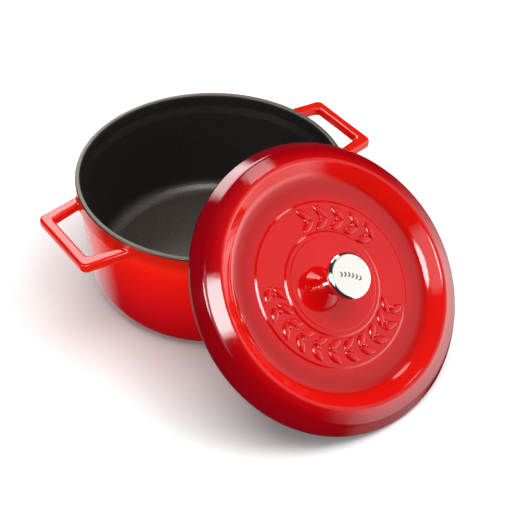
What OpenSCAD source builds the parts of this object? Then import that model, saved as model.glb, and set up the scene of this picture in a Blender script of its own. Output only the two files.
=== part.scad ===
// Enamelled cast iron dutch oven: a round pot with two flat loop handles, and its
// lid, taken off and leaned on the pot's rim with its lower edge on the table.
// Millimetres, +Z up. Origin: centre of the pot's flat base. The handles lie along
// Y, and the lid leans out towards +X.

/* [Pot] */
// Outside diameter at the rim
rim_d = 249; // [200:1:300]
// Height from the base to the top of the rim
pot_h = 116; // [90:1:150]
// Wall thickness at the rim
rim_wall = 4.5; // [3.5:0.1:6]
// Wall thickness below the collar
side_wall = 4.2; // [3.5:0.1:6]
// Thickness of the base
base_wall = 5; // [4:0.1:7]
// Depth of the thicker collar under the rim
collar_h = 18; // [12:0.5:24]
// How far the collar stands out from the wall below it
collar_step = 2; // [1:0.1:3]
// How much the wall leans in between the collar and the base
side_lean = 6.5; // [2:0.1:10]
// Outside radius of the corner between wall and base
base_round = 18; // [12:0.5:24]
// Inside radius of the corner between wall and floor
floor_round = 14; // [8:0.5:18]
// Height of the bare iron bead at the top of the rim
rim_bare = 2; // [1.5:0.1:3]
// Edge radius on the rim's bead
rim_round = 1.2; // [0.6:0.1:1.4]

/* [Handles] */
// How far a handle stands out from the rim
handle_reach = 34; // [26:0.5:44]
// Width of a handle along its outer bar
handle_w = 79.5; // [64:0.5:96]
// How much wider a handle is at the wall than at its bar, on each side
handle_flare = 5; // [0:0.5:10]
// Width of the outer bar
bar_w = 10; // [8:0.5:14]
// Width of each arm
arm_w = 10; // [8:0.5:14]
// Thickness of a handle
handle_t = 9; // [7:0.5:12]
// Depth of a handle's top face below the rim
handle_drop = 8; // [6:0.5:12]
// Outer corner radius of a handle
handle_round = 6; // [3:0.5:10]
// Corner radius of the finger hole
hole_round = 4; // [2:0.5:8]

/* [Lid] */
// How far the lid's edge stands out past the pot's rim
lid_overhang = 4.5; // [3:0.1:7]
// Depth of the lip that hangs outside the rim
lip_h = 2.2; // [1.5:0.1:3.5]
// Gap between the lip and the rim when the lid is on
lip_gap = 1.5; // [0.8:0.1:2]
// Gap between the locating ring and the pot's mouth when the lid is on
ring_gap = 1.2; // [0.8:0.1:2]
// How far the locating ring hangs below the lid's edge
ring_drop = 1.6; // [0.5:0.1:3]
// Thickness of the locating ring
ring_w = 3.2; // [2.5:0.1:5]
// Height of the crest above the lid's edge
crest_h = 21.5; // [18:0.5:26]
// Distance of the crest in from the lid's edge
crest_in = 21.5; // [18:0.5:26]
// Distance of the plate's outer edge in from the lid's edge
plate_in = 36; // [32:0.5:42]
// Height of the plate's outer edge above the lid's edge
plate_h = 10; // [9:0.1:12]
// Height of the lid's underside above its edge
hollow_h = 6.6; // [5:0.1:7]
// Radius of the outer raised step on the plate
outer_step_r = 72; // [66:0.5:78]
// Radius of the inner raised step on the plate
inner_step_r = 45; // [38:0.5:50]
// Height of each raised step
step_h = 0.8; // [0.4:0.1:1.2]
// Height of the bare iron bead along the lid's edge
lip_bare = 1.2; // [0.8:0.1:2]
// Angle of the leaning lid from level, in degrees
lean = 39.4; // [34:0.2:44]
// Direction in which the lid leans out, in degrees from +X
lean_turn = 5; // [-20:0.2:20]
// Gap left between the leaning lid and the rim that carries it
rest_gap = 0.3; // [0.2:0.1:1]

/* [Knob] */
// Diameter of the knob's head
knob_d = 41; // [34:0.5:48]
// Height of the knob
knob_h = 29.5; // [24:0.5:36]
// Thickness of the head at its edge
head_t = 5.5; // [5:0.5:8]
// Edge radius round the top of the head
head_round = 3.5; // [2:0.1:3.6]
// Diameter of the knob's waist
waist_d = 15; // [12:0.5:18]
// Diameter of the knob's foot
foot_d = 21; // [18:0.5:24]
// Diameter of the fixing screw's shank
screw_d = 6; // [5:0.5:8]
// Diameter of the screw's head
screw_head_d = 12; // [10:0.5:16]
// Thickness of the screw's head
screw_head_t = 3.3; // [2.5:0.1:4]
// Length of the screw's shank inside the knob
screw_grip = 12; // [8:0.5:16]
// Thickness of the washer under the screw's head
washer_t = 1; // [0.8:0.1:1.5]
// Diameter of the washer
washer_d = 18; // [15:0.5:24]

/* [Enamel] */
// Thickness of the enamel
enamel = 0.4; // [0.3:0.05:0.6]

/* [Hidden] */
$fn = 96;
cut = 1;               // how far a cutting shape runs past what it cuts
arc_steps = 6;         // straight steps in each rounded corner
shank_gap = 0.08;      // radial gap of the screw's shank in the knob's bore
hole_gap = 0.5;        // radial gap of the screw's shank in the lid's hole
bore_spare = 2;        // depth of the knob's bore past the end of the screw

rim_r = rim_d / 2;
mouth_r = rim_r - rim_wall;
collar_z = pot_h - collar_h;
side_r = rim_r - collar_step;
lid_r = rim_r + lid_overhang;
crest_r = lid_r - crest_in;
plate_r = lid_r - plate_in;
step_slope = 2;        // width of the sloping edge of a raised step
second_step_in = 4;    // the inner step repeats, smaller, this far further in
second_step_h = 0.3;
plate_top = plate_h + 2 * step_h + second_step_h;
handle_top = pot_h - handle_drop;
bar_r = rim_r + handle_reach;

// The lean follows from the sizes: the lid's edge is on the table, and the rounded
// edge of the rim carries the flat part of the lid's underside.
lid_z = lid_r * sin(lean);
lid_x = rim_r - rim_round + ((pot_h - rim_round - lid_z) * cos(lean)
    + rim_round - hollow_h + rest_gap) / sin(lean);

// ---- outlines -------------------------------------------------------------
// An outline is a list of corners [x, y, corner radius], anticlockwise.

function unit(v) = v / norm(v);
function xy(p) = [p[0], p[1]];
function around(c, i) = c[(i + len(c)) % len(c)];

// The points of one corner, rounded to its radius.
function corner(a, b, c) =
    b[2] <= 0 ? [xy(b)] :
    let (u = unit(xy(a) - xy(b)), v = unit(xy(c) - xy(b)),
         half = acos(u * v) / 2,
         centre = xy(b) + unit(u + v) * b[2] / sin(half),
         from = xy(b) + u * b[2] / tan(half) - centre,
         to = xy(b) + v * b[2] / tan(half) - centre)
    [for (i = [0:arc_steps]) centre + b[2] * unit(from + (to - from) * i / arc_steps)];

function rounded(c) = [for (i = [0:len(c) - 1])
    each corner(around(c, i - 1), c[i], around(c, i + 1))];

// The same outline with every side moved out by g, or in where g is negative.
// Points on the turning axis stay on it.
function grown(c, g) = [for (i = [0:len(c) - 1])
    let (d0 = unit(xy(c[i]) - xy(around(c, i - 1))),
         d1 = unit(xy(around(c, i + 1)) - xy(c[i])),
         n0 = [d0[1], -d0[0]], n1 = [d1[1], -d1[0]],
         p = xy(c[i]) + (n0 + n1) * g / (1 + n0 * n1),
         turn = d0[0] * d1[1] - d0[1] * d1[0])
    [c[i][0] == 0 ? 0 : p[0], p[1], c[i][2] == 0 ? 0 : c[i][2] + (turn > 0 ? g : -g)]];

module turned(c) rotate_extrude() polygon(rounded(c));

// ---- pot ------------------------------------------------------------------
collar_slope = 1.5;    // height of the sloping step under the collar
ledge_drop = 3;        // how far the inner ledge starts below the collar's edge
ledge_rise = 5;        // how far the inner ledge runs on above the collar's edge
ledge_round = 6;       // edge radius of the inner ledge
base_r = side_r - side_lean;
foot_r = base_r - base_round;

pot_outline = [
    [0, 0, 0],
    [base_r, 0, base_round],
    [side_r, collar_z - collar_slope, 2],
    [rim_r, collar_z, 1],
    [rim_r, pot_h, rim_round],
    [0, pot_h, 0]];

cavity_outline = [
    [0, base_wall, 0],
    [base_r - side_wall, base_wall, floor_round],
    [side_r - side_wall, collar_z - ledge_drop, ledge_round],
    [mouth_r, collar_z + ledge_rise, ledge_round],
    [mouth_r, pot_h + cut, 0],
    [0, pot_h + cut, 0]];

// One handle along +Y as an outline seen from above, grown by g.
module handle_plan(g) {
    half = handle_w / 2;
    root = rim_r / 2;
    flare = handle_flare * (bar_r - root) / handle_reach;
    hole_flare = handle_flare * (bar_r - bar_w - root) / handle_reach;
    difference() {
        polygon(rounded(grown([
            [half + flare, root, 0],
            [half, bar_r, handle_round],
            [-half, bar_r, handle_round],
            [-half - flare, root, 0]], g)));
        polygon(rounded(grown([
            [half - arm_w + hole_flare, root - cut, 0],
            [half - arm_w, bar_r - bar_w, hole_round],
            [arm_w - half, bar_r - bar_w, hole_round],
            [arm_w - half - hole_flare, root - cut, 0]], -g)));
    }
}

module handles(g) for (side = [0, 1]) mirror([0, side, 0])
    translate([0, 0, handle_top - handle_t - g])
        linear_extrude(height = handle_t + 2 * g) handle_plan(g);

// The outside of the pot as a full block, with its handles.
module pot_form(g) {
    turned(grown(pot_outline, g));
    handles(g);
}

// Where the pot's iron is bare: the bead on the rim, and the flat base.
module pot_bare() {
    translate([0, 0, pot_h - rim_bare]) cylinder(r = rim_r + cut, h = rim_bare + cut);
    translate([0, 0, -cut]) cylinder(r = foot_r, h = cut + enamel);
}

// The cavity in the enamel coat, and in the bare iron of the rim's bead.
module coated_cavity() difference() {
    turned(grown(cavity_outline, enamel));
    translate([0, 0, pot_h - rim_bare]) difference() {
        cylinder(r = rim_r, h = rim_bare + 2 * cut);
        cylinder(r = mouth_r, h = rim_bare + 2 * cut);
    }
}

module pot_casting() color("dimgray") difference() {
    union() {
        pot_form(-enamel);
        intersection() {
            turned(pot_outline);
            pot_bare();
        }
    }
    coated_cavity();
}

module pot_outer_enamel() color("red") difference() {
    pot_form(0);
    pot_form(-enamel);
    pot_bare();
}

module pot_inner_enamel() color([0.1, 0.1, 0.1]) difference() {
    turned(grown(cavity_outline, enamel));
    turned(cavity_outline);
    translate([0, 0, pot_h - rim_bare]) cylinder(r = rim_r, h = rim_bare + 2 * cut);
}

// ---- lid, drawn level with the plane of its edge at z = 0 -------------------
crest_round = 4.5;
flank_round = 6;       // where the steep flank turns into the shoulder
dish_round = 20;       // the soft hollow between the crest's inner slope and the plate
shoulder_in = 7.5;     // the flank turns here, in from the edge
shoulder_h = crest_h - 5.5;
flank_h = 4.5;         // height at which the flank starts
lip_r = rim_r + lip_gap;
ring_r = mouth_r - ring_gap;
crest_wall = 5;
ring_lean = 0.6;       // the ring's inner wall leans out by this over its height
hollow_r = plate_r + 1.5;

lid_top = [
    [0, 0, 0],
    [lid_r, 0, 0],
    [lid_r, flank_h, 1.5],
    [lid_r - shoulder_in, shoulder_h, flank_round],
    [crest_r, crest_h, crest_round],
    [plate_r, plate_h, dish_round],
    [outer_step_r + step_slope, plate_h, 0.8],
    [outer_step_r, plate_h + step_h, 0.8],
    [inner_step_r + step_slope, plate_h + step_h, 0.8],
    [inner_step_r, plate_h + 2 * step_h, 0.8],
    [inner_step_r - second_step_in + step_slope / 2, plate_h + 2 * step_h, 0],
    [inner_step_r - second_step_in, plate_top, 0],
    [0, plate_top, 0]];

// The hollow under the lid, with the seat that lies on the pot's rim and the groove
// round the locating ring.
lid_hollow = [
    [0, -ring_drop - cut, 0],
    [ring_r - ring_w, -ring_drop - cut, 0],
    [ring_r - ring_w + ring_lean, shoulder_h - crest_wall, 3],
    [crest_r, crest_h - crest_wall, 3],
    [hollow_r, hollow_h, 6],
    [0, hollow_h, 0]];

module lid_bare() translate([0, 0, -cut]) cylinder(r = lid_r + cut, h = lip_bare + cut);

module seat_cut() translate([0, 0, -cut]) difference() {
    cylinder(r = lip_r, h = lip_h + cut);
    translate([0, 0, -cut]) cylinder(r = ring_r, h = lip_h + 4 * cut);
}

module screw_hole(r) translate([0, 0, -cut]) cylinder(r = r, h = plate_top + 2 * cut);

module lid_casting() color("dimgray") leaned() difference() {
    union() {
        turned(grown(lid_top, -enamel));
        intersection() {
            turned(lid_top);
            lid_bare();
        }
        translate([0, 0, -ring_drop]) cylinder(r = ring_r, h = ring_drop + lip_h + cut);
    }
    turned(grown(lid_hollow, enamel));
    seat_cut();
    screw_hole(screw_d / 2 + hole_gap);
}

module lid_outer_enamel() color("red") leaned() difference() {
    turned(lid_top);
    turned(grown(lid_top, -enamel));
    lid_bare();
    screw_hole(screw_d / 2 + hole_gap);
}

module lid_inner_enamel() color([0.1, 0.1, 0.1]) leaned() difference() {
    turned(grown(lid_hollow, enamel));
    turned(lid_hollow);
    translate([0, 0, -ring_drop - 3 * cut])
        cylinder(r = lid_r, h = ring_drop + 3 * cut + lip_bare);
    screw_hole(screw_d / 2 + hole_gap);
}

// Puts what is drawn level where the lid leans.
module leaned() rotate([0, 0, lean_turn]) translate([lid_x, 0, lid_z])
    rotate([0, lean, 0]) children();

// ---- knob and its fixing ----------------------------------------------------
waist_round = 6;
foot_edge = 1.2;       // height of the upright edge round the foot
tip_round = 0.5;       // edge radius at the end of the screw
head_taper = 3;        // the head's underside rises by half of this over its last stretch

knob_outline = [
    [0, 0, 0],
    [foot_d / 2, 0, 0],
    [foot_d / 2, foot_edge, foot_edge / 2],
    [waist_d / 2, knob_h / 3, waist_round],
    [knob_d / 2 - head_taper, knob_h - head_t - head_taper / 2, 3],
    [knob_d / 2, knob_h - head_t, 1],
    [knob_d / 2, knob_h, head_round],
    [0, knob_h, 0]];

module knob() color("silver") leaned() translate([0, 0, plate_top]) difference() {
    turned(knob_outline);
    translate([0, 0, -cut])
        cylinder(r = screw_d / 2 + shank_gap, h = screw_grip + bore_spare + cut);
}

module knob_screw() color("gray") leaned() {
    head_z = hollow_h - washer_t - screw_head_t;
    turned([
        [0, head_z, 0],
        [screw_head_d / 2, head_z, 1.5],
        [screw_head_d / 2, head_z + screw_head_t, 0],
        [screw_d / 2, head_z + screw_head_t, 0],
        [screw_d / 2, plate_top + screw_grip, tip_round],
        [0, plate_top + screw_grip, 0]]);
}

module knob_washer() color("lightgray") leaned()
    translate([0, 0, hollow_h - washer_t]) difference() {
        cylinder(d = washer_d, h = washer_t);
        translate([0, 0, -cut])
            cylinder(r = screw_d / 2 + hole_gap / 2, h = washer_t + 2 * cut);
    }

pot_casting();
pot_outer_enamel();
pot_inner_enamel();
lid_casting();
lid_outer_enamel();
lid_inner_enamel();
knob();
knob_screw();
knob_washer();
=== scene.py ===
# %% [markdown]
# # An enamelled cast iron dutch oven, with its lid off
#
# The pot and the lid are each one iron casting. Glass is fused onto them in a
# furnace: a glossy red coat outside, sprayed darker towards the bottom, and a matt
# black coat inside. A bare bead is left where pot and lid touch. The knob is turned
# from steel, polished, and screwed on from below through a washer.
#
# The frame holds the measured solids. Every visible piece is made again here with
# the soft edges of a casting, and stands exactly where its solid does.

# %% Load the frame
import math
import bmesh
import bpy
from mathutils import Matrix, Vector


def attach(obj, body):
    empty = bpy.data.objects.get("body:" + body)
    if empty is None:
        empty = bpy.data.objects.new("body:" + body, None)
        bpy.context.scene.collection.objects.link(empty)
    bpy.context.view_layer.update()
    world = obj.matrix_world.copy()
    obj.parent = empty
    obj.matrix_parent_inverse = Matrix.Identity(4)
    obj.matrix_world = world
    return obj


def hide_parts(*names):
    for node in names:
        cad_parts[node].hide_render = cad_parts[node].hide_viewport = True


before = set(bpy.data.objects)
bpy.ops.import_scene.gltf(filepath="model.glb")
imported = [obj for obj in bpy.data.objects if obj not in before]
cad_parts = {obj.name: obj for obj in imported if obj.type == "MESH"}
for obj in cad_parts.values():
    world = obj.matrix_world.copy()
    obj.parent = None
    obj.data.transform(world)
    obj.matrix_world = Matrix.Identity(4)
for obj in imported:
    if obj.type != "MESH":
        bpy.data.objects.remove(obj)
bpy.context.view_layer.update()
MM = 0.001

# %% [markdown]
# ## Outlines
#
# Nearly everything here is round, so it is drawn as half a section and turned. An
# outline is a list of corners (radius, height, corner radius) in millimetres, with
# the solid on its left. A Bevel modifier could round the corners too, but an arc of
# a known radius keeps each one at the size that the mould gives it.

# %% Rounded corners
def rounded(corners, arc_steps=8):
    """The outline's points: each corner becomes an arc of its own radius."""
    points = []
    for i, (x, y, r) in enumerate(corners):
        here = Vector((x, y))
        if r <= 0:
            points.append(here)
            continue
        u = (Vector(corners[i - 1][:2]) - here).normalized()
        v = (Vector(corners[i + 1][:2]) - here).normalized()
        half = u.angle(v) / 2
        centre = here + (u + v).normalized() * r / math.sin(half)
        start, end = ((here + d * r / math.tan(half) - centre).normalized() for d in (u, v))
        points += [centre + start.slerp(end, k / arc_steps) * r for k in range(arc_steps + 1)]
    return points


print("a square corner of 2 mm:", len(rounded([(0, 0, 0), (9, 0, 2), (9, 9, 0)])), "points")

# %% [markdown]
# A short step beside each curve keeps the smooth shading of the curve from running
# out over the flat next to it.

# %% Steps along the flats
STEP, BESIDE = 5.0, 0.3    # longest step on a flat, and the step beside a curve


def divided(points):
    """The same outline with its long straight stretches cut into steps."""
    out = [points[0]]
    for a, b in zip(points, points[1:]):
        length = (b - a).length
        if length > 4 * BESIDE:
            inner = length - 2 * BESIDE
            count = max(1, math.ceil(inner / STEP))
            out += [a.lerp(b, (BESIDE + inner * k / count) / length) for k in range(count + 1)]
        out.append(b)
    return out


def inset(points, depth):
    """The same outline moved to its left, which is into the solid."""
    out = []
    for i, p in enumerate(points):
        before, after = points[max(i - 1, 0)], points[min(i + 1, len(points) - 1)]
        along = (after - before).normalized()
        out.append(p + Vector((-along.y, along.x)) * depth)
    return out


print("a flat of 20 mm:", len(divided([Vector((0, 0)), Vector((20, 0))])), "points")

# %% [markdown]
# ## Turning
#
# A Screw modifier could turn an outline as well. Writing the rings out keeps every
# row at hand, so that the handles can be stitched into the pot's wall later on.

# %% A piece from its points
SMOOTH = math.radians(40)    # a sharper fold than this is shaded as an edge
TINY = 1e-6                  # a distance that counts as none


def mesh_piece(name, points, faces, place=None):
    """A new piece from points in mm, put in place by moving its points."""
    mesh = bpy.data.meshes.new(name)
    mesh.from_pydata([Vector(p) * MM for p in points], [], faces)
    mesh.validate()
    if place:
        mesh.transform(place)
    mesh.shade_smooth()
    mesh.set_sharp_from_angle(angle=SMOOTH)
    piece = bpy.data.objects.new(name, mesh)
    bpy.context.collection.objects.link(piece)
    return piece


def faced_outwards(piece):
    """Drops loose points, merges double ones and turns every face outwards."""
    bm = bmesh.new()
    bm.from_mesh(piece.data)
    loose = [v for v in bm.verts if not v.link_faces]
    bmesh.ops.delete(bm, geom=loose, context="VERTS")
    bmesh.ops.remove_doubles(bm, verts=bm.verts, dist=TINY)
    bmesh.ops.recalc_face_normals(bm, faces=bm.faces)
    bm.to_mesh(piece.data)
    bm.free()
    piece.data.set_sharp_from_angle(angle=SMOOTH)
    print(piece.name + ":", len(piece.data.polygons), "faces")
    return piece


print("folds over", round(math.degrees(SMOOTH)), "degrees are shaded as edges")

# %% Turn an outline
def hexagon_share(angle):
    """How far a hexagon's side is from its middle, against its corner."""
    return math.cos(math.pi / 6) / math.cos(angle % (math.pi / 3) - math.pi / 6)


def turned_rows(outline, columns, sides=(), open_at=()):
    """Points, rows and faces of an outline turned round Z. A row listed in sides is
    pulled in to a hexagon, and (row, column) in open_at has no face. A point on the
    axis is one pole."""
    points, rows, faces = [], [], []
    for i, p in enumerate(outline):
        if p.x < TINY:
            rows.append([len(points)] * columns)
            points.append((0, 0, p.y))
            continue
        rows.append(range(len(points), len(points) + columns))
        for j in range(columns):
            angle = math.tau * j / columns
            r = p.x * hexagon_share(angle) if i in sides else p.x
            points.append((r * math.cos(angle), r * math.sin(angle), p.y))
    for i, (low, high) in enumerate(zip(rows, rows[1:])):
        for j in range(columns):
            k = (j + 1) % columns
            face = tuple(dict.fromkeys((low[j], low[k], high[k], high[j])))
            if len(face) > 2 and (i, j) not in open_at:
                faces.append(face)
    return points, rows, faces


def turned(name, outline, place=None, columns=240, sides=()):
    """A closed piece turned from an outline that starts and ends on the axis, or
    from a loop whose last point is its first."""
    points, rows, faces = turned_rows(outline, columns, sides)
    return faced_outwards(mesh_piece(name, points, faces, place))


print("a disc in 12 columns:", len(turned_rows([Vector((0, 0)), Vector((1, 0))], 12)[2]), "faces")

# %% [markdown]
# A coat of enamel is drawn as an open skin, and the Solidify modifier gives it its
# thickness inwards, so that its outside stays where the outline says.

# %% A coat of enamel
coat = 0.4             # thickness of the enamel


def thickened(piece):
    """Gives an open skin the thickness of a coat, inwards."""
    wall = piece.modifiers.new("coat", "SOLIDIFY")
    wall.thickness = coat * MM
    wall.offset = -1
    return piece


def turned_coat(name, outline, place=None, columns=240):
    """A coat turned from an outline with the solid on its left."""
    points, rows, faces = turned_rows(outline, columns)
    print(name + ":", len(outline), "rows of", columns)
    return thickened(mesh_piece(name, points, faces, place))


print("a coat is", coat, "mm thick")

# %% [markdown]
# ## The pot's outline
#
# The wall leans in towards the base and steps out to a thicker collar at the top. It
# is cast in sand, so every corner has a radius: the pattern could not be drawn out
# of the mould otherwise. Z is up, and the origin is the centre of the flat base.

# %% Sizes of the pot
rim_r, pot_h, base_wall = 124.5, 116.0, 5.0
rim_wall, side_wall = 4.5, 4.2
collar_h, collar_step, side_lean = 18.0, 2.0, 6.5
base_round, floor_round, rim_round, rim_bare = 18.0, 14.0, 1.2, 2.0
collar_slope = 1.5     # height of the sloping step under the collar
ledge_drop, ledge_rise, ledge_round = 3.0, 5.0, 6.0    # the soft ledge inside

mouth_r = rim_r - rim_wall
collar_z = pot_h - collar_h
side_r = rim_r - collar_step
base_r = side_r - side_lean
foot_r = base_r - base_round
enamel_z = pot_h - rim_bare
print("mouth", 2 * mouth_r, "mm across, flat base", 2 * foot_r, "mm across")

# %% Outlines of the pot
outer_skin = divided(rounded([
    (foot_r - 1, 0, 0),
    (base_r, 0, base_round),
    (side_r, collar_z - collar_slope, 2),
    (rim_r, collar_z, 1),
    (rim_r, enamel_z, 0)]))
inner_skin = divided(rounded([
    (mouth_r, enamel_z, 0),
    (mouth_r, collar_z + ledge_rise, ledge_round),
    (side_r - side_wall, collar_z - ledge_drop, ledge_round),
    (base_r - side_wall, base_wall, floor_round),
    (0, base_wall, 0)]))
bead = rounded([
    (rim_r, enamel_z, 0),
    (rim_r, pot_h, rim_round),
    (mouth_r, pot_h, rim_round),
    (mouth_r, enamel_z, 0)])
print("pot skins:", len(outer_skin), "and", len(inner_skin), "rows")

# %% [markdown]
# ## The handles
#
# Each handle is a flat loop with a window for the fingers, cast in one with the
# wall. A Boolean could join a loop to the wall, but it leaves thin triangles and a
# hard seam. Here the section, a rounded rectangle, runs along one arm, round the
# corner, along the bar and back, and the wall is left open where an arm meets it.

# %% Sizes of a handle
handle_reach, handle_w, handle_flare = 34.0, 79.5, 5.0
bar_w, arm_w, handle_t, handle_drop = 10.0, 10.0, 9.0, 8.0
handle_round, hole_round = 6.0, 4.0
edge_round, root_round = 2.6, 2.4    # along the loop's edges, and where it joins the wall

handle_top = pot_h - handle_drop
handle_mid = handle_top - handle_t / 2
bar_r = rim_r + handle_reach
print("over the handles:", 2 * bar_r, "mm")

# %% The section of a handle
ACROSS = 8             # faces across an arm


def square_ring(up):
    """(across, up) of the section's points on a square from -1 to 1, starting at the
    inner lower corner, with so many faces on each upright side."""
    wide = [2 * k / ACROSS - 1 for k in range(ACROSS)]
    high = [2 * k / up - 1 for k in range(up)]
    return ([(a, -1) for a in wide] + [(1, b) for b in high]
            + [(-a, 1) for a in wide] + [(-1, -b) for b in high])


def softened(a, b, half_w, half_h, r):
    """A point of the square ring on the rounded section, as mm across and up."""
    p = Vector((a * half_w, b * half_h))
    core = Vector((max(r - half_w, min(half_w - r, p.x)),
                   max(r - half_h, min(half_h - r, p.y))))
    return core + (p - core).normalized() * r


print("points round a section:", len(square_ring(ACROSS)))

# %% [markdown]
# Where an arm reaches the wall the section flares, as the fillet of the mould does.
# The first sections follow the wall's own curve, so each lies at one distance from
# it.

# %% The arms
slant = handle_flare / handle_reach
arm_dir = Vector((-slant, 1)).normalized()
arm_side = Vector((arm_dir.y, -arm_dir.x))
arm_half = arm_w * arm_dir.y / 2
arm_foot = Vector((handle_w / 2 - arm_w / 2 + slant * (bar_r - rim_r), rim_r))


def along_arm(start, radius):
    """The point straight out along an arm that is at a radius from the pot's axis."""
    out = start.dot(arm_dir)
    return start + arm_dir * (math.sqrt(out ** 2 - start.length_squared + radius ** 2) - out)


def wall_radius(outline, z):
    """Radius of the outside of the wall at a height."""
    for a, b in zip(outline, outline[1:]):
        if a.y <= z <= b.y and b.y > a.y:
            return a.x + (b.x - a.x) * (z - a.y) / (b.y - a.y)
    return rim_r


def arm_ring(outline, ring, distance, depth):
    """One section of an arm, a distance from the wall and a depth under the enamel."""
    gap = max(root_round - distance, 0)
    flare = root_round - math.sqrt(root_round ** 2 - gap ** 2) - depth
    out = []
    for a, b in ring:
        s = softened(a, b, arm_half + flare, handle_t / 2 + flare, edge_round + flare)
        z = handle_mid + s.y
        plan = along_arm(arm_foot + arm_side * s.x, wall_radius(outline, z) + distance)
        out.append(Vector((plan.x, plan.y, z)))
    return out


print("an arm's root is", round(arm_foot.x, 1), "mm from the middle of its handle")

# %% The corners and the bar
BESIDE_CORNER = 0.6
BAR_STEPS = (0.1, 1, 2, 3, 4, 5, 6)    # in sixths of half the bar


def rungs():
    """Pairs of points, on the window's outline and on the outside, from the end of
    an arm to the middle of the bar."""
    half, root = handle_w / 2, rim_r / 2
    outside = rounded([
        (half + slant * (bar_r - root), root, 0), (half, bar_r, handle_round),
        (0, bar_r, 0)], 12)[1:]
    window = rounded([
        (half - arm_w + slant * (bar_r - bar_w - root), root, 0),
        (half - arm_w, bar_r - bar_w, hole_round), (0, bar_r - bar_w, 0)], 12)[1:]
    *corner, middle = zip(window, outside)
    before = [p - arm_dir * BESIDE_CORNER for p in corner[0]]
    bar = [[a.lerp(b, k / BAR_STEPS[-1]) for a, b in zip(corner[-1], middle)]
           for k in BAR_STEPS]
    return [before] + corner + bar


def rung_ring(ring, inner, outer, depth):
    """One section between a point of the window's outline and one of the outside."""
    middle, half = (inner + outer) / 2, (outer - inner) / 2
    out = []
    for a, b in ring:
        s = softened(a, b, half.length - depth, handle_t / 2 - depth, edge_round - depth)
        plan = middle + half.normalized() * s.x
        out.append(Vector((plan.x, plan.y, handle_mid + s.y)))
    return out


print("sections from an arm's end to the middle of the bar:", len(rungs()))

# %% A whole loop
ROOT_STEPS = (0, 0.1, 0.3, 0.7, 1.3, root_round)    # distances of an arm's first sections


def handle_rings(outline, up, depth):
    """All sections of the loop, from the right arm's root to the left arm's."""
    ring = square_ring(up)
    half_loop = [arm_ring(outline, ring, distance, depth) for distance in ROOT_STEPS]
    half_loop += [rung_ring(ring, inner, outer, depth) for inner, outer in rungs()]
    mirrored = [[Vector((-p.x, p.y, p.z)) for p in loop] for loop in half_loop[-2::-1]]
    return half_loop + mirrored


print("sections in a handle:", len(handle_rings(outer_skin, ACROSS, 0)))

# %% [markdown]
# ## Wall and handles in one skin
#
# The turned wall has one column to a degree. A patch of its faces is left out round
# each arm's root, and a few loops lead from the patch's square border to the round
# section, so that the wall runs into the handle without a seam.

# %% The patches in the wall
COLUMNS, PATCH = 360, 4    # columns round the pot, and half a patch's width in columns
ABOVE, BELOW = 1.0, 1.5    # how far a patch runs on past the fillets
root_at = along_arm(arm_foot, rim_r)
patch_column = round(math.degrees(math.atan2(root_at.y, root_at.x)))


def patch_rows(outline):
    """The rows at the lower and the upper edge of every patch."""
    top = next(i for i, p in enumerate(outline) if p.y > handle_top + root_round + ABOVE)
    low = max(i for i, p in enumerate(outline[:top])
              if p.y < handle_top - handle_t - root_round - BELOW)
    return low, top


def patch_border(arm, low, up):
    """(column, row) of the wall's points round the patch of the right arm, 1, or of
    the left arm, -1, in the order of a section's points."""
    middle = patch_column if arm > 0 else COLUMNS // 2 - patch_column
    return [(middle - arm * round(a * PATCH), low + round((b + 1) / 2 * up))
            for a, b in square_ring(up)]


print("patches from row", *patch_rows(outer_skin), "at column", patch_column)

# %% From a patch to an arm
BRIDGE_STEPS = (0.2, 0.4, 0.6, 0.8)


def bridge(outline, border, root):
    """The loops on the wall that lead from a patch's border to an arm's root."""
    loops = []
    for share in BRIDGE_STEPS:
        loop = []
        for (column, row), p in zip(border, root):
            start, end = math.tau * column / COLUMNS, math.atan2(p.y, p.x)
            angle = start + (end - start) * share
            z = outline[row].y + (p.z - outline[row].y) * share
            r = wall_radius(outline, z)
            loop.append(Vector((r * math.cos(angle), r * math.sin(angle), z)))
        loops.append(loop)
    return loops


print("loops between a patch and an arm:", len(BRIDGE_STEPS))

# %% Stitch wall and handles
def pot_skin(name, outline, depth):
    """The outline turned round Z, with both handles stitched into its outer wall."""
    low, top = patch_rows(outline)
    rings = handle_rings(outline, top - low, depth)
    borders = [patch_border(arm, low, top - low) for arm in (1, -1)]
    chain = (bridge(outline, borders[0], rings[0]) + rings
             + bridge(outline, borders[1], rings[-1])[::-1])
    middles = [side * middle for side in (1, -1)
               for middle in (patch_column, COLUMNS // 2 - patch_column)]
    left_out = {(row, (middle + step) % COLUMNS) for middle in middles
                for step in range(-PATCH, PATCH) for row in range(low, top)}
    points, rows, faces = turned_rows(outline, COLUMNS, open_at=left_out)
    for side in (1, -1):
        first, last = ([rows[row][side * column % COLUMNS] for column, row in border]
                       for border in borders)
        loops = [first]
        for loop in chain:
            loops.append(range(len(points), len(points) + len(loop)))
            points += [(p.x, side * p.y, p.z) for p in loop]
        loops.append(last)
        for one, two in zip(loops, loops[1:]):
            faces += [(one[k - 1], one[k], two[k], two[k - 1]) for k in range(len(one))]
    return faced_outwards(mesh_piece(name, points, faces))


pot_red = thickened(pot_skin("pot_red_enamel", outer_skin, 0))

# %% [markdown]
# ## The rest of the pot
#
# The iron casting is one closed body: it lies bare at the bead on the rim and at the
# flat base, and a coat's thickness under the enamel elsewhere. The black coat lines
# the inside.

# %% Pot casting and black lining
casting_outside = inset(outer_skin, coat)
casting_outside[0] = Vector((foot_r, coat))
casting_outside[-1].y = enamel_z
casting_inside = inset(inner_skin, coat)
casting_inside[0].y = enamel_z
casting_inside[-1].x = 0
flat_base = divided([Vector((0, 0)), Vector((foot_r, 0))])
pot_iron = pot_skin("pot_casting_iron", flat_base + casting_outside + bead + casting_inside,
                    coat)
pot_black = turned_coat("pot_black_enamel", inner_skin)

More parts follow.
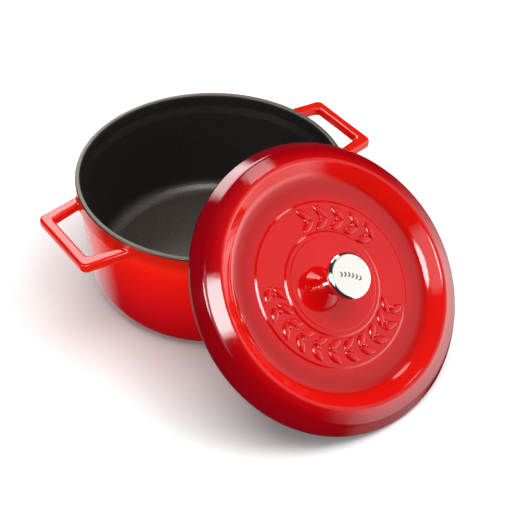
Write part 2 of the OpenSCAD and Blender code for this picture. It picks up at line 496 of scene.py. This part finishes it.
# %% [markdown]
# ## Where the lid leans
#
# The lid is drawn level, with the plane of its edge at zero, and put in place
# afterwards by moving its points. Its edge stands on the table and the pot's rounded
# rim carries its flat underside, so the lean gives its distance from the pot.

# %% Sizes of the lid
lid_r = rim_r + 4.5
lip_h, lip_bare, lip_gap = 2.2, 1.2, 1.5
ring_gap, ring_drop, ring_w = 1.2, 1.6, 3.2
crest_h, crest_in, plate_in, plate_h = 21.5, 21.5, 36.0, 10.0
hollow_h, crest_wall, flank_h, shoulder_in = 6.6, 5.0, 4.5, 7.5
outer_step_r, inner_step_r, step_h, step_slope = 72.0, 45.0, 0.8, 2.0
second_step_in, second_step_h = 4.0, 0.3

crest_r, plate_r = lid_r - crest_in, lid_r - plate_in
plate_top = plate_h + 2 * step_h + second_step_h
print("lid", 2 * lid_r, "mm across,", crest_h, "mm high")

# %% The lid's place
lean, lean_turn, rest_gap = math.radians(39.4), math.radians(5), 0.3
lid_z = lid_r * math.sin(lean)
lid_x = rim_r - rim_round + ((pot_h - rim_round - lid_z) * math.cos(lean)
                             + rim_round - hollow_h + rest_gap) / math.sin(lean)
lid_place = (Matrix.Rotation(lean_turn, 4, "Z")
             @ Matrix.Translation((lid_x * MM, 0, lid_z * MM))
             @ Matrix.Rotation(lean, 4, "Y"))
print("lid centre:", [round(v / MM, 1) for v in lid_place.translation], "mm")

# %% [markdown]
# ## The lid
#
# From its edge the lid rises in a steep flank to a rounded crest, drops inside it to
# a shallow plate, and the plate steps up twice towards the knob. Underneath are the
# seat that lies on the pot's rim, the locating ring inside it, and a hollow. It is
# turned like the pot, because the bends of this outline shape every reflection.

# %% Outline of the lid's top
screw_d = 6.0          # the knob's screw, which comes up through the lid's middle
hole_r = screw_d / 2 + 0.5
shoulder_h, lip_r = crest_h - 5.5, rim_r + lip_gap
second_step_r = inner_step_r - second_step_in
lid_skin = divided(rounded([
    (lid_r, lip_bare, 0),
    (lid_r, flank_h, 1.5),
    (lid_r - shoulder_in, shoulder_h, 6),
    (crest_r, crest_h, 4.5),
    (plate_r, plate_h, 20),
    (outer_step_r + step_slope, plate_h, 0.8),
    (outer_step_r, plate_h + step_h, 0.8),
    (inner_step_r + step_slope, plate_h + step_h, 0.8),
    (inner_step_r, plate_h + 2 * step_h, 0.8),
    (second_step_r + step_slope / 2, plate_h + 2 * step_h, 0.3),
    (second_step_r, plate_top, 0.3),
    (hole_r, plate_top, 0)], 10))
print("top of the lid:", len(lid_skin), "rows")

# %% Outline of the lid's hollow
lean_top, lean_low, lean_bare = 0.6, 0.15, 0.1    # how far the ring's inside leans out
ring_r = mouth_r - ring_gap
ring_inside = ring_r - ring_w
lid_hollow = divided(rounded([
    (hole_r, hollow_h, 0),
    (plate_r + 1.5, hollow_h, 6),
    (crest_r, crest_h - crest_wall, 3),
    (ring_inside + lean_top, shoulder_h - crest_wall, 3),
    (ring_inside + lean_low, lip_bare, 0)]))
print("hollow of the lid:", len(lid_hollow), "rows")

# %% The lid's casting and its two coats
lid_edge = rounded([
    (ring_inside + lean_bare, lip_bare, 0),
    (ring_inside, -ring_drop, 0.6),
    (ring_r, -ring_drop, 0.6),
    (ring_r, lip_h, 0.4),
    (lip_r, lip_h, 0.4),
    (lip_r, 0, 0.6),
    (lid_r, 0, 0.8),
    (lid_r, lip_bare, 0)], 6)
under_plate, over_plate = inset(lid_hollow, coat), inset(lid_skin, coat)
over_plate[0] = Vector((lid_r - coat, lip_bare))
lid_iron = turned("lid_casting_iron", under_plate + divided(lid_edge) + over_plate
                  + under_plate[:1], lid_place)
lid_red = turned_coat("lid_red_enamel", lid_skin, lid_place)
lid_black = turned_coat("lid_black_enamel", lid_hollow, lid_place)

# %% [markdown]
# ## The knob
#
# The knob is turned from one steel bar: a flat head, a narrow waist and a spreading
# foot, with a blind hole from below for the screw. The outline is the tool's path in
# the lathe, so turning it here gives the same soft waist.

# %% The knob
knob_d, knob_h, head_t, head_round = 41.0, 29.5, 5.5, 3.5
waist_d, waist_round, foot_d, foot_edge, head_taper = 15.0, 6.0, 21.0, 1.2, 3.0
screw_grip, shank_gap = 12.0, 0.08
bore_r, bore_depth = screw_d / 2 + shank_gap, screw_grip + 2

knob_place = lid_place @ Matrix.Translation((0, 0, plate_top * MM))
knob_outside = divided(rounded([
    (bore_r, 0, 0),
    (foot_d / 2, 0, 0.25),
    (foot_d / 2, foot_edge, foot_edge / 2),
    (waist_d / 2, knob_h / 3, waist_round),
    (knob_d / 2 - head_taper, knob_h - head_t - head_taper / 2, 3),
    (knob_d / 2, knob_h - head_t, 1),
    (knob_d / 2, knob_h, head_round),
    (0, knob_h, 0)], 12))
knob_bore = [Vector((0, bore_depth)), Vector((bore_r, bore_depth)), Vector((bore_r, 0))]
knob = turned("knob_polished_steel", knob_outside + knob_bore, knob_place, 160)

# %% [markdown]
# ## The screw and its washer
#
# A screw with a domed head and a hexagonal socket comes up through the lid into the
# knob, over a washer. The socket's rows are pulled in to a hexagon while the rest of
# the head stays round, which saves a Boolean.

# %% Screw and washer
screw_head_d, screw_head_t, washer_t, washer_d = 12.0, 3.3, 1.0, 18.0
socket_r, socket_depth, socket_lip = 3.2, 2.0, 0.2
washer_z, washer_r, washer_hole_r = hollow_h - washer_t, washer_d / 2, screw_d / 2 + 0.25
head_z, screw_end = washer_z - screw_head_t, plate_top + screw_grip

socket = [Vector((0, head_z + socket_depth)), Vector((socket_r, head_z + socket_depth)),
          Vector((socket_r, head_z + socket_lip / 2)), Vector((socket_r + socket_lip, head_z))]
screw_outside = rounded([
    (screw_head_d / 2 - 2, head_z, 0),
    (screw_head_d / 2, head_z, 1.5),
    (screw_head_d / 2, washer_z, 0),
    (screw_d / 2, washer_z, 0),
    (screw_d / 2, screw_end, 0.5),
    (0, screw_end, 0)])
screw = turned("knob_screw_steel", socket + screw_outside, lid_place, 72, sides=(1, 2, 3))
washer = turned("knob_washer_steel", rounded([
    (washer_hole_r, washer_z, 0),
    (washer_r, washer_z, 0.2),
    (washer_r, hollow_h, 0.2),
    (washer_hole_r, hollow_h, 0),
    (washer_hole_r, washer_z, 0)], 3), lid_place, 96)

# %% [markdown]
# ## The raised band on the lid
#
# A garland of leaves stands up from the plate between its two steps, in two runs. It
# is cut into the mould and cast with the lid. Geometry Nodes set the leaves along an
# arc, so their number and slant can be changed in one place. First comes a function
# that adds one node to any tree.

# %% Add one node
def add(tree, kind, inputs=None, stops=None, **settings):
    """Adds a node. Settings are its own options; inputs fill its sockets with a value
    or with a link from another node's output; stops are a ramp's colours."""
    node = tree.nodes.new(kind)
    for key, value in settings.items():
        setattr(node, key, value)
    for key, value in (inputs or {}).items():
        if isinstance(value, bpy.types.NodeSocket):
            tree.links.new(value, node.inputs[key])
        else:
            node.inputs[key].default_value = value
    for i, (place, colour) in enumerate(stops or ()):
        if i > 1:
            node.color_ramp.elements.new(place)
        node.color_ramp.elements[i].position = place
        node.color_ramp.elements[i].color = colour
    return node


# %% The garland's inputs
garland = bpy.data.node_groups.new("leaf garland", "GeometryNodeTree")
garland.interface.new_socket("Geometry", in_out="OUTPUT", socket_type="NodeSocketGeometry")
for label, kind in (("Pairs", "Int"), ("Radius", "Float"), ("Start", "Float"),
                    ("Sweep", "Float"), ("Leaf size", "Vector"), ("Slant", "Float"),
                    ("Material", "Material")):
    garland.interface.new_socket(label, in_out="INPUT", socket_type="NodeSocket" + kind)
given = add(garland, "NodeGroupInput").outputs
print("the garland takes:", ", ".join(socket.name for socket in given if socket.name))

# %% [markdown]
# One leaf is a unit sphere pinched to a point at both ends: its width is drawn in as
# the distance from the middle grows. The leaf's size then scales it.

# %% One leaf
POINTED = 0.45         # a higher power draws the ends in sooner
ball = add(garland, "GeometryNodeMeshUVSphere", {"Segments": 24, "Rings": 14, "Radius": 0.5})
here = add(garland, "GeometryNodeInputPosition").outputs[0]
squared = add(garland, "ShaderNodeVectorMath", {0: here, 1: here}, operation="MULTIPLY")
along = add(garland, "ShaderNodeSeparateXYZ", {0: squared.outputs[0]}).outputs[0]
left_over = add(garland, "ShaderNodeMath", {0: along, 1: -4.0, 2: 1.02},
                operation="MULTIPLY_ADD")
pinch = add(garland, "ShaderNodeMath", {0: left_over.outputs[0], 1: POINTED},
            operation="POWER")
narrow = add(garland, "ShaderNodeCombineXYZ", {0: 1.0, 1: pinch.outputs[0], 2: 1.0})
shaped = add(garland, "ShaderNodeVectorMath", {0: here, 1: narrow.outputs[0]},
             operation="MULTIPLY")
leaf = add(garland, "GeometryNodeSetPosition",
           {"Geometry": ball.outputs[0], "Position": shaped.outputs[0]})
smooth_leaf = add(garland, "GeometryNodeSetShadeSmooth", {0: leaf.outputs[0]})
print("nodes so far, for one leaf:", len(garland.nodes))

# %% [markdown]
# Three arcs share one centre: leaves that slant inwards, small berries, and leaves
# that slant outwards. Each is turned to run along its arc first.

# %% Three arcs of leaves and berries
ASIDE = 0.34           # a leaf's distance from the middle arc, as a share of its length
length = add(garland, "ShaderNodeSeparateXYZ", {0: given["Leaf size"]}).outputs[0]
heading = add(garland, "FunctionNodeAlignRotationToVector",
              {"Vector": add(garland, "GeometryNodeInputTangent").outputs[0]}, axis="X")
joined = add(garland, "GeometryNodeJoinGeometry")
for side, share in ((-1, (1, 1, 1)), (0, (0.3, 0.7, 1)), (1, (1, 1, 1))):
    reach = add(garland, "ShaderNodeMath", {0: length, 1: ASIDE * side, 2: given["Radius"]},
                operation="MULTIPLY_ADD")
    arc = add(garland, "GeometryNodeCurveArc", {
        "Resolution": given["Pairs"], "Radius": reach.outputs[0],
        "Start Angle": given["Start"], "Sweep Angle": given["Sweep"]})
    aslant = add(garland, "ShaderNodeVectorMath", {0: given["Slant"], 1: (0, 0, -side)},
                 operation="MULTIPLY")
    turn = add(garland, "FunctionNodeRotateRotation",
               {0: heading.outputs[0], 1: aslant.outputs[0]}, rotation_space="LOCAL")
    size = add(garland, "ShaderNodeVectorMath", {0: given["Leaf size"], 1: share},
               operation="MULTIPLY")
    run = add(garland, "GeometryNodeInstanceOnPoints", {
        "Points": arc.outputs[0], "Instance": smooth_leaf.outputs[0],
        "Rotation": turn.outputs[0], "Scale": size.outputs[0]})
    garland.links.new(run.outputs[0], joined.inputs[0])
print("nodes so far, with the arcs:", len(garland.nodes))

# %% From instances to one mesh
real = add(garland, "GeometryNodeRealizeInstances", {0: joined.outputs[0]})
painted = add(garland, "GeometryNodeSetMaterial",
              {"Geometry": real.outputs[0], "Material": given["Material"]})
add(garland, "NodeGroupOutput", {0: painted.outputs[0]})


def leaf_run(name, place, material, pairs, radius, start, sweep, leaf_size):
    """Leaf pairs along an arc, put in place by moving their points. Sizes in mm,
    angles in degrees, leaf_size as length, width and twice the raise."""
    base = bpy.data.objects.new(name, bpy.data.meshes.new(name))
    bpy.context.collection.objects.link(base)
    run = base.modifiers.new("garland", "NODES")
    run.node_group = garland
    values = {"Pairs": pairs, "Radius": radius * MM, "Start": math.radians(start),
              "Sweep": math.radians(sweep), "Leaf size": [v * MM for v in leaf_size],
              "Slant": math.radians(38), "Material": material}
    for socket in garland.interface.items_tree:
        if socket.in_out == "INPUT":
            run[socket.identifier] = values[socket.name]
    graph = bpy.context.evaluated_depsgraph_get()
    mesh = bpy.data.meshes.new_from_object(base.evaluated_get(graph))
    bpy.data.objects.remove(base)
    mesh.transform(place)
    mesh.name = name
    piece = bpy.data.objects.new(name, mesh)
    bpy.context.collection.objects.link(piece)
    print(name + ":", pairs, "pairs,", len(mesh.polygons), "faces")
    return piece


# %% [markdown]
# ## Finishes
#
# Colours are written as the hex values of a paint chart and turned to the linear
# values that light is reckoned in.

# %% Colours and a new finish
def linear(code):
    """An sRGB hex colour as linear red, green, blue and an alpha of one."""
    parts = [int(code[i:i + 2], 16) / 255 for i in (1, 3, 5)]
    return tuple(c / 12.92 if c <= 0.04045 else ((c + 0.055) / 1.055) ** 2.4
                 for c in parts) + (1.0,)


def new_finish(name):
    """An empty material, its node tree and its surface shader."""
    finish = bpy.data.materials.new(name)
    finish.use_nodes = True
    tree = finish.node_tree
    return finish, tree, tree.nodes["Principled BSDF"]


print("middle grey in linear light:", round(linear("#808080")[0], 3))

# %% [markdown]
# ### Glossy red enamel
#
# Vitreous enamel: glass, coloured with cadmium red, sprayed on and fired at 800
# degrees. It is as smooth as glass, with a faint ripple left from spraying. The maker
# sprays a darker red towards the edges, so the colour runs from orange-red at the
# top of the pot and on the lid's crest to crimson at the bottom and the lid's edge.

# %% Red enamel
def red_enamel(name, centre, turn, keep, reach, stops):
    """Red glaze whose colour follows a distance in the piece's own frame: keep is
    (0, 0, 1) for the height, (1, 1, 0) for the distance from the turning axis."""
    finish, tree, surface = new_finish(name)
    surface.inputs["Roughness"].default_value = 0.06
    surface.inputs["IOR"].default_value = 1.42
    here = add(tree, "ShaderNodeTexCoord").outputs["Object"]
    own = add(tree, "ShaderNodeMapping", {"Vector": here, "Location": centre,
                                          "Rotation": turn}, vector_type="TEXTURE")
    kept = add(tree, "ShaderNodeVectorMath", {0: own.outputs[0], 1: keep},
               operation="MULTIPLY")
    far = add(tree, "ShaderNodeVectorMath", {0: kept.outputs[0]}, operation="LENGTH")
    share = add(tree, "ShaderNodeMapRange", {"Value": far.outputs["Value"],
                                             "From Max": reach * MM})
    colour = add(tree, "ShaderNodeValToRGB", {0: share.outputs[0]},
                 [(place / reach, linear(code)) for place, code in stops])
    tree.links.new(colour.outputs[0], surface.inputs["Base Color"])
    ripple = add(tree, "ShaderNodeTexNoise", {"Vector": here, "Scale": 1 / (9 * MM),
                                              "Detail": 1.0})
    bump = add(tree, "ShaderNodeBump", {"Height": ripple.outputs[0], "Strength": 0.06,
                                        "Distance": 1 * MM})
    tree.links.new(bump.outputs[0], surface.inputs["Normal"])
    print(name + ":", len(stops), "shades over", reach, "mm")
    return finish


# %% The reds of pot and lid
pot_glaze = red_enamel("glossy red enamel on the pot", (0, 0, 0), (0, 0, 0), (0, 0, 1),
                       pot_h, [(0, "#9C000C"), (45, "#CA0812"), (85, "#E6140A"),
                               (98, "#F0200E"), (108, "#C8190C")])
lid_glaze = red_enamel("glossy red enamel on the lid", lid_place.translation,
                       lid_place.to_euler(), (1, 1, 0), lid_r,
                       [(0, "#BA0608"), (70, "#B40608"), (84, "#9A0408"),
                        (92, "#9E0608"), (97, "#BE0E06"), (105, "#C60E0A"),
                        (110, "#A40408"), (118, "#840008"), (124, "#84000A"),
                        (129, "#78000C")])

# %% [markdown]
# ### Matt black enamel, bare iron and steel
#
# The lining is a porous matt enamel that feels like fine sandpaper, so it spreads
# the light and shows a fine speckle. The bead on the rim is iron with its oil baked
# on, ground and satin. The knob is stainless steel, polished until it mirrors, with
# dull grey leaves etched into its top; the screw and washer are plain bright steel.
# Real grains are finer than this; they are drawn as coarse as they need to show.

# %% A grained finish
def grained(name, code, roughness, metallic, grain, depth, speck=None):
    """A plain colour with a fine grain of bumps, grain and depth in mm."""
    finish, tree, surface = new_finish(name)
    surface.inputs["Base Color"].default_value = linear(code)
    surface.inputs["Roughness"].default_value = roughness
    surface.inputs["Metallic"].default_value = metallic
    here = add(tree, "ShaderNodeTexCoord").outputs["Object"]
    grains = add(tree, "ShaderNodeTexNoise", {"Vector": here, "Scale": 1 / (grain * MM),
                                              "Detail": 3.0})
    if speck:
        mix = add(tree, "ShaderNodeValToRGB", {0: grains.outputs[0]},
                  [(0.35, linear(code)), (0.7, linear(speck))])
        tree.links.new(mix.outputs[0], surface.inputs["Base Color"])
    bump = add(tree, "ShaderNodeBump", {"Height": grains.outputs[0], "Strength": 0.5,
                                        "Distance": depth * MM})
    tree.links.new(bump.outputs[0], surface.inputs["Normal"])
    print(name + ": grain", grain, "mm")
    return finish


# %% Black enamel and metals
black_glaze = grained("matt black enamel", "#0E0B0A", 0.44, 0, 1.6, 0.2, "#27211D")
bare_iron = grained("ground cast iron", "#544F48", 0.5, 1, 1.2, 0.08)
polished = grained("polished stainless steel", "#F4F1EA", 0.035, 1, 20, 0.002)
bright_steel = grained("plain bright steel", "#B9B7B2", 0.25, 1, 0.6, 0.02)
etched = grained("etched stainless steel", "#5A554E", 0.45, 1, 0.4, 0.01)

# %% [markdown]
# The lining's colour is raised over the height of the corner between wall and floor, so the
# pot's floor is drawn lighter than its walls: painted light, for the overhead light on the floor.

# %% The lining of the pot
# painted light: how much lighter the floor is drawn than the walls
PAINTED_FLOOR_LIGHT = 3.2           # how much the floor's colour is raised
pot_lining = grained("matt black enamel in the pot", "#0B0908", 0.44, 0, 1.6, 0.2, "#231C18")
lining = pot_lining.node_tree
lining_colour = lining.nodes["Principled BSDF"].inputs["Base Color"]
lining_at = add(lining, "ShaderNodeTexCoord").outputs["Object"]
lining_height = add(lining, "ShaderNodeSeparateXYZ", {0: lining_at}).outputs[2]
# painted light: the colour rises from the top of the floor's corner down to the floor, as if only
# the floor were lit from above
raised = add(lining, "ShaderNodeMapRange", {
    "Value": lining_height, "From Min": (base_wall + floor_round) * MM,
    "From Max": (base_wall + 1) * MM, "To Min": 1.0, "To Max": PAINTED_FLOOR_LIGHT})
painted_floor_light = add(lining, "ShaderNodeVectorMath", {
    0: lining_colour.links[0].from_socket, "Scale": raised.outputs[0]}, operation="SCALE")
lining.links.new(painted_floor_light.outputs[0], lining_colour)
print("the floor's colour is raised", PAINTED_FLOOR_LIGHT, "times")

# %% [markdown]
# ## The leaves
#
# Now that the glaze exists, the two runs can be made. The band's leaves are centred
# on the plate's surface, so half of each stands out of it. The knob's small leaves
# are almost flat and lie along a wide arc through the middle of its head.

# %% Leaves on the lid and the knob
band_place = lid_place @ Matrix.Translation((0, 0, (plate_h + step_h) * MM))
band_r, band_leaf = (outer_step_r + inner_step_r) / 2, (16.5, 7.6, 3.6)
leaves_over = leaf_run("lid_leaves_over", band_place, lid_glaze, 5, band_r, 111, 62,
                       band_leaf)
leaves_under = leaf_run("lid_leaves_under", band_place, lid_glaze, 11, band_r, 252, 150,
                        band_leaf)

bend, middle_at, sweep = 40, 142, 26    # the etched arc's radius in mm, angles in degrees
out_there = Vector((math.cos(math.radians(middle_at)), math.sin(math.radians(middle_at)), 0))
etched_place = knob_place @ Matrix.Translation((Vector((0, 0, knob_h)) - bend * out_there) * MM)
etched_leaves = leaf_run("knob_etched_leaves", etched_place, etched, 6, bend,
                         middle_at - sweep / 2, sweep, (3.4, 1.3, 0.1))

# %% [markdown]
# ## What moves with what
#
# Every piece stands for a measured solid, rides on that solid's body and takes its
# finish, and that solid's own part is hidden. The leaves stand for no solid: they are
# part of the lid's casting and of the knob.

# %% Ride, replace, take the finish
for piece, node, body, finish, slot in (
        (pot_iron, "pot_casting", "pot", bare_iron, "bare_iron"),
        (pot_red, "pot_outer_enamel", "pot", pot_glaze, "red_enamel"),
        (pot_black, "pot_inner_enamel", "pot", pot_lining, "black_enamel"),
        (lid_iron, "lid_casting", "lid", bare_iron, "bare_iron"),
        (lid_red, "lid_outer_enamel", "lid", lid_glaze, "red_enamel"),
        (lid_black, "lid_inner_enamel", "lid", black_glaze, "black_enamel"),
        (knob, "knob", "lid", polished, "polished_steel"),
        (screw, "knob_screw", "lid", bright_steel, "plain_steel"),
        (washer, "knob_washer", "lid", bright_steel, "plain_steel"),
        (leaves_over, None, "lid", None, "red_enamel"),
        (leaves_under, None, "lid", None, "red_enamel"),
        (etched_leaves, None, "lid", None, "polished_steel")):
    if finish:
        piece.data.materials.append(finish)
    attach(piece, body)
    if node:
        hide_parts(node)
    print(piece.name, "rides on the", body)

# %% [markdown]
# ## Studio
#
# White paper fills the view. It is kept out of mirror reflections, so the lower half
# of the pot keeps its deep colour.

# %% Floor
PAPER = 6              # half the paper's width, in metres
floor_mesh = bpy.data.meshes.new("floor")
floor_mesh.from_pydata([(-PAPER, -PAPER, 0), (PAPER, -PAPER, 0), (PAPER, PAPER, 0),
                        (-PAPER, PAPER, 0)], [], [(0, 1, 2, 3)])
floor = bpy.data.objects.new("floor", floor_mesh)
bpy.context.collection.objects.link(floor)
paper, _, paper_surface = new_finish("white paper")
paper_surface.inputs["Base Color"].default_value = linear("#F8F8F8")
paper_surface.inputs["Roughness"].default_value = 0.9
paper_surface.inputs["Specular IOR Level"].default_value = 0.0
floor_mesh.materials.append(paper)
floor.visible_glossy = False
print("floor:", 2 * PAPER, "m of paper")

# %% [markdown]
# Glossy things show the room. The world is dark, apart from a pale wall on the right,
# brightest just below the horizon and fading upwards, and a pale stretch low on the
# left for the sheen along the pot's side.

# %% The pale wall on the right
world = bpy.data.worlds.new("studio")
bpy.context.scene.world = world
world.use_nodes = True
sky = world.node_tree
looking = add(sky, "ShaderNodeTexCoord").outputs["Generated"]
flattened = add(sky, "ShaderNodeVectorMath", {0: looking, 1: (1, 1, 0)}, operation="MULTIPLY")
level = add(sky, "ShaderNodeVectorMath", {0: flattened.outputs[0]}, operation="NORMALIZE")
wall_at = math.radians(52)
towards_wall = add(sky, "ShaderNodeVectorMath", {
    0: level.outputs[0], 1: (math.cos(wall_at), math.sin(wall_at), 0)},
    operation="DOT_PRODUCT")
rightness = add(sky, "ShaderNodeMapRange", {
    "Value": towards_wall.outputs["Value"], "From Min": 0.70, "From Max": 0.90},
    interpolation_type="SMOOTHSTEP")
up = add(sky, "ShaderNodeSeparateXYZ", {0: looking}).outputs[2]
high = add(sky, "ShaderNodeMapRange", {"Value": up, "From Min": -1.0})
greys = [(0.12, 0.11), (0.33, 0.4), (0.42, 1.0), (0.49, 0.9), (0.55, 0.55), (0.61, 0.4),
         (0.72, 0.29), (0.82, 0.22), (0.91, 0.09), (0.96, 0.01)]
wall = add(sky, "ShaderNodeValToRGB", {0: high.outputs[0]},
           [(height, (grey, grey, grey, 1)) for height, grey in greys])
lit = add(sky, "ShaderNodeMath", {0: wall.outputs[0], 1: rightness.outputs[0]},
          operation="MULTIPLY")
print("wall shades:", len(greys))

# %% The pale stretch on the left, and the whole world
WALL_LIGHT, DIM = 4.5, 0.03
towards_left = add(sky, "ShaderNodeVectorMath", {0: looking, 1: (-0.78, -0.07, -0.62)},
                   operation="DOT_PRODUCT")
left_low = add(sky, "ShaderNodeMapRange", {
    "Value": towards_left.outputs["Value"], "From Min": 0.87, "From Max": 1.0,
    "To Min": DIM, "To Max": 1.0}, interpolation_type="SMOOTHSTEP")
total = add(sky, "ShaderNodeMath", {0: lit.outputs[0], 1: WALL_LIGHT, 2: left_low.outputs[0]},
            operation="MULTIPLY_ADD")
sky.links.new(total.outputs[0], sky.nodes["Background"].inputs["Color"])
print("world nodes:", len(sky.nodes))

# %% [markdown]
# ### Lamps
#
# Two sets, as a studio has: large lamps that light the object and cast the soft
# shadows, and soft boxes that are only seen in its gloss. Keeping them apart lets
# each highlight be placed without changing the colours.

# %% Two sets of lamps
middle = Vector((0.08, 0, 0.08))    # what every lamp looks at, in metres


def area_lamp(name, azimuth, elevation, distance, wide, tall, radiance):
    """A rectangular lamp that looks at the middle of the object, sizes in metres."""
    lamp = bpy.data.objects.new(name, bpy.data.lights.new(name, "AREA"))
    lamp.data.shape = "RECTANGLE"
    lamp.data.size, lamp.data.size_y = wide, tall
    lamp.data.energy = radiance * math.pi * wide * tall
    a, e = math.radians(azimuth), math.radians(elevation)
    back = Vector((math.cos(a) * math.cos(e), math.sin(a) * math.cos(e), math.sin(e)))
    lamp.matrix_world = (Matrix.Translation(middle + back * distance)
                         @ back.to_track_quat("Z", "Y").to_matrix().to_4x4())
    bpy.context.collection.objects.link(lamp)
    return lamp


def faded_edges(lamp):
    """Lets a lamp's light fall off towards its edges, as a soft box's cloth does."""
    lamp.data.use_nodes = True
    tree = lamp.data.node_tree
    spot = add(tree, "ShaderNodeNewGeometry").outputs["Parametric"]
    off = add(tree, "ShaderNodeVectorMath", {0: spot, 1: (0.5, 0.5, 0)},
              operation="DISTANCE")
    fade = add(tree, "ShaderNodeMapRange", {
        "Value": off.outputs["Value"], "From Min": 0.52, "From Max": 0.32},
        interpolation_type="SMOOTHSTEP")
    tree.links.new(fade.outputs[0], tree.nodes["Emission"].inputs["Strength"])


# %% Light for the colours
for name, *setting in (("key", 62, 58, 2.0, 1.5, 1.5, 3.0),
                       ("overhead", 180, 88, 2.2, 2.6, 2.6, 2.55),
                       ("fill", 302, 14, 2.0, 2.2, 0.9, 3.2),
                       ("left fill", 215, 35, 2.0, 2.2, 1.8, 0.4)):
    area_lamp(name, *setting).visible_glossy = False
    print(name, "at azimuth", setting[0], "elevation", setting[1])

# %% Soft boxes for the gloss
for name, *setting in (("left box", 298, 48, 1.7, 1.9, 1.3, 2.5),
                       ("upper left box", 335, 56, 1.7, 0.9, 0.72, 24),
                       ("low left box", 264, 29, 1.7, 0.85, 0.6, 24),
                       ("back left box", 166, 36, 1.7, 1.25, 1.45, 8),
                       ("top box", 106, 64, 1.7, 0.55, 0.42, 6)):
    box = area_lamp(name, *setting)
    box.visible_diffuse = False
    faded_edges(box)
    print(name, "at azimuth", setting[0], "elevation", setting[1])

# %% [markdown]
# ### Camera
#
# The camera looks down into the pot from a little over a metre away, with a long
# lens, so that the ellipses of rim and lid stay calm. It is placed by where it sees
# the centre of the pot's rim.

# %% Camera
def view_turn(azimuth, elevation, roll):
    """The camera's turn: azimuth about Z, elevation above the floor, roll."""
    return (Matrix.Rotation(math.radians(azimuth), 4, "Z")
            @ Matrix.Rotation(math.radians(90 - elevation), 4, "X")
            @ Matrix.Rotation(math.radians(roll), 4, "Z"))


camera = bpy.data.objects.new("camera", bpy.data.cameras.new("camera"))
bpy.context.collection.objects.link(camera)
camera.data.sensor_width, camera.data.lens = 36, 79.04
facing = view_turn(53, 42.365, 1.358)
rim_seen = Vector((-40.46, 79.52, -1030.2)) * MM    # the rim's centre from the camera
camera.matrix_world = Matrix.Translation(
    Vector((0, 0, pot_h * MM)) - facing.to_3x3() @ rim_seen) @ facing
bpy.context.scene.camera = camera
bpy.context.scene.view_settings.view_transform = "Standard"
print("camera at", [round(v, 2) for v in camera.matrix_world.translation], "m")
